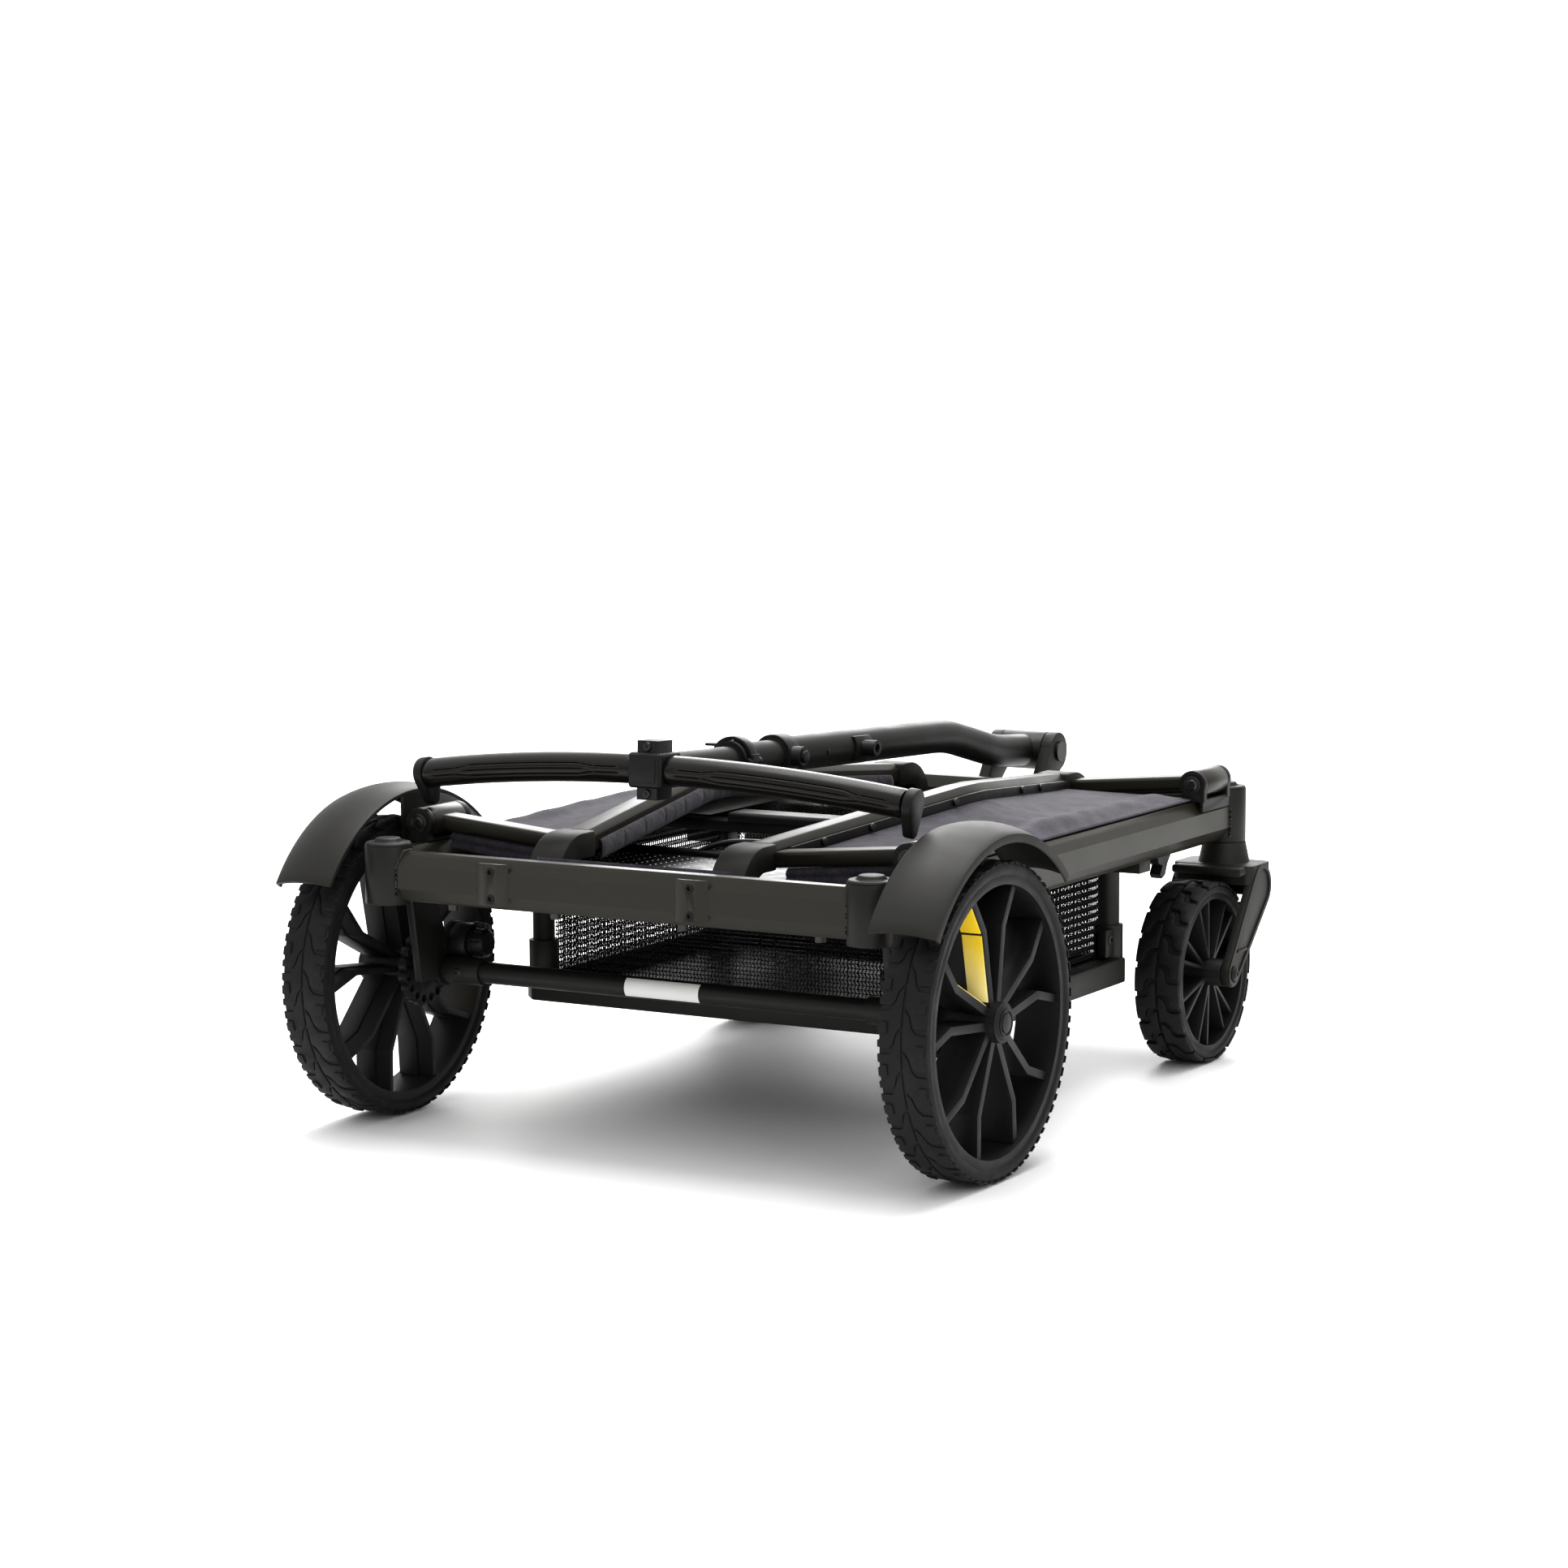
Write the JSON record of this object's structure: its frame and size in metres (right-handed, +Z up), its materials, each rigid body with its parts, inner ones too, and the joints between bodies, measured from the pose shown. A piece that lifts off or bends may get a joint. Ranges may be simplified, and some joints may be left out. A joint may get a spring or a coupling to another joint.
{
  "type": "pet stroller",
  "caption": "Folded wagon-style pet stroller: flat rail frame on large spoked rear wheels and swivelling front casters, fold-down fabric walls, telescoping T-bar handle laid along the top.",
  "frame": {"origin": "on the ground under the middle of the overall box", "axes": "+Z up, +Y towards the caster end, +X to the right when facing +Y"},
  "size_m": [0.644, 0.8403, 0.352],
  "materials": {
    "rail_metal": "satin",
    "bracket_metal": "satin",
    "black_plastic": "matte",
    "fastener_steel": "satin",
    "grey_plastic": "matte",
    "wheel_plastic": "matte",
    "accent_plastic": "gloss",
    "tyre_rubber": "matte",
    "wall_fabric": "woven",
    "mesh_fabric": "woven mesh",
    "floor_board": "woven over board",
    "grip_rubber": "matte",
    "label": "matte"
  },
  "bodies": {
    "chassis": {"side_rails": "rail_metal", "rear_cross_rail": "rail_metal", "front_cross_rail": "rail_metal", "corner_sleeves": "bracket_metal", "corner_caps": "black_plastic", "wall_hinge_brackets": "black_plastic", "handle_hinge_base": "black_plastic", "frame_fasteners": "fastener_steel", "rear_axle_tube": "bracket_metal", "axle_brackets": "bracket_metal", "axle_label": "label", "brake_housings": "black_plastic", "fenders": "black_plastic", "footwell_frame": "grey_plastic", "footwell_legs": "grey_plastic", "footwell_mesh": "mesh_fabric", "floor_panels": "floor_board", "fold_cross_bar": "black_plastic", "fold_grip_plate": "black_plastic"},
    "right_brake": {"right_brake_plunger": "black_plastic"},
    "left_brake": {"left_brake_plunger": "black_plastic"},
    "handle_outer": {"handle_outer_tube": "rail_metal", "handle_collar": "black_plastic", "accessory_socket": "black_plastic"},
    "push_button": {"collar_button": "grey_plastic"},
    "handle_middle": {"handle_middle_tube": "rail_metal", "lever_collar": "black_plastic"},
    "lever": {"clamp_lever": "black_plastic"},
    "handle_top": {"handle_inner_tube": "rail_metal", "t_block": "black_plastic", "grip_bar": "rail_metal", "grips": "grip_rubber", "grip_end_caps": "black_plastic"},
    "right_wall": {"right_top_rail": "rail_metal", "right_rail_channel": "black_plastic", "right_rail_elbows": "black_plastic", "right_wall_posts": "rail_metal", "right_rail_screws": "fastener_steel", "right_side_panel": "wall_fabric"},
    "right_rear_wheel": {"right_wheel_rim": "wheel_plastic", "right_wheel_tyre": "tyre_rubber", "right_wheel_accent_liner": "accent_plastic", "right_wheel_hub_fittings": "black_plastic"},
    "right_caster_swivel": {"right_caster_fork": "black_plastic"},
    "right_caster_wheel": {"right_caster_rim": "wheel_plastic", "right_caster_tyre": "tyre_rubber"},
    "left_wall": {"left_top_rail": "rail_metal", "left_rail_channel": "black_plastic", "left_rail_elbows": "black_plastic", "left_wall_posts": "rail_metal", "left_rail_screws": "fastener_steel", "left_side_panel": "wall_fabric"},
    "left_rear_wheel": {"left_wheel_rim": "wheel_plastic", "left_wheel_tyre": "tyre_rubber", "left_wheel_accent_liner": "accent_plastic", "left_wheel_hub_fittings": "black_plastic"},
    "left_caster_swivel": {"left_caster_fork": "black_plastic"},
    "left_caster_wheel": {"left_caster_rim": "wheel_plastic", "left_caster_tyre": "tyre_rubber"}
  },
  "joints": [
    {"name": "handle_fold", "type": "hinge", "parent": "chassis", "child": "handle_outer", "pos_m": [0, 0.40107, 0.273], "axis": [-1, 0, 0], "range_deg": [0, 140]},
    {"name": "right_wall_fold", "type": "hinge", "parent": "chassis", "child": "right_wall", "pos_m": [0.242, -0.00793, 0.266], "axis": [0, 1, 0], "range_deg": [0, 90]},
    {"name": "left_wall_fold", "type": "hinge", "parent": "chassis", "child": "left_wall", "pos_m": [-0.242, -0.00793, 0.266], "axis": [0, -1, 0], "range_deg": [0, 90]},
    {"name": "handle_lower_slide", "type": "slide", "parent": "handle_outer", "child": "handle_middle", "axis": [0, -0.9991, 0.0414], "range_m": [0, 0.2]},
    {"name": "handle_upper_slide", "type": "slide", "parent": "handle_middle", "child": "handle_top", "axis": [0, -0.9991, 0.0414], "range_m": [0, 0.22]},
    {"name": "clamp_lever_hinge", "type": "hinge", "parent": "handle_middle", "child": "lever", "pos_m": [0.01895, -0.17693, 0.32098], "axis": [0, 0.9991, -0.0414], "range_deg": [0, 100]},
    {"name": "button_press", "type": "slide", "parent": "handle_outer", "child": "push_button", "axis": [-1, 0, 0], "range_m": [0, 0.0025], "stiffness_N_per_m": 400},
    {"name": "right_wheel_spin", "type": "hinge", "parent": "chassis", "child": "right_rear_wheel", "pos_m": [0.293, -0.28493, 0.1335], "axis": [1, 0, 0], "continuous": true},
    {"name": "right_caster_turn", "type": "hinge", "parent": "chassis", "child": "right_caster_swivel", "pos_m": [0.2375, 0.34807, 0.2], "axis": [0, 0, 1], "continuous": true},
    {"name": "right_caster_spin", "type": "hinge", "parent": "right_caster_swivel", "child": "right_caster_wheel", "pos_m": [0.2375, 0.27707, 0.0865], "axis": [1, 0, 0], "continuous": true},
    {"name": "left_wheel_spin", "type": "hinge", "parent": "chassis", "child": "left_rear_wheel", "pos_m": [-0.293, -0.28493, 0.1335], "axis": [1, 0, 0], "continuous": true},
    {"name": "left_caster_turn", "type": "hinge", "parent": "chassis", "child": "left_caster_swivel", "pos_m": [-0.2375, 0.34807, 0.2], "axis": [0, 0, 1], "continuous": true},
    {"name": "left_caster_spin", "type": "hinge", "parent": "left_caster_swivel", "child": "left_caster_wheel", "pos_m": [-0.2375, 0.27707, 0.0865], "axis": [1, 0, 0], "continuous": true},
    {"name": "left_brake_push", "type": "slide", "parent": "chassis", "child": "left_brake", "axis": [-1, 0, 0], "range_m": [0, 0.008]},
    {"name": "right_brake_push", "type": "slide", "parent": "chassis", "child": "right_brake", "axis": [1, 0, 0], "range_m": [0, 0.008]}
  ],
  "couplings": [
    {"joint": "right_wall_fold", "follows": "handle_fold", "ratio": 0.64286},
    {"joint": "left_wall_fold", "follows": "handle_fold", "ratio": 0.64286},
    {"joint": "right_brake_push", "follows": "left_brake_push", "ratio": 1}
  ]
}
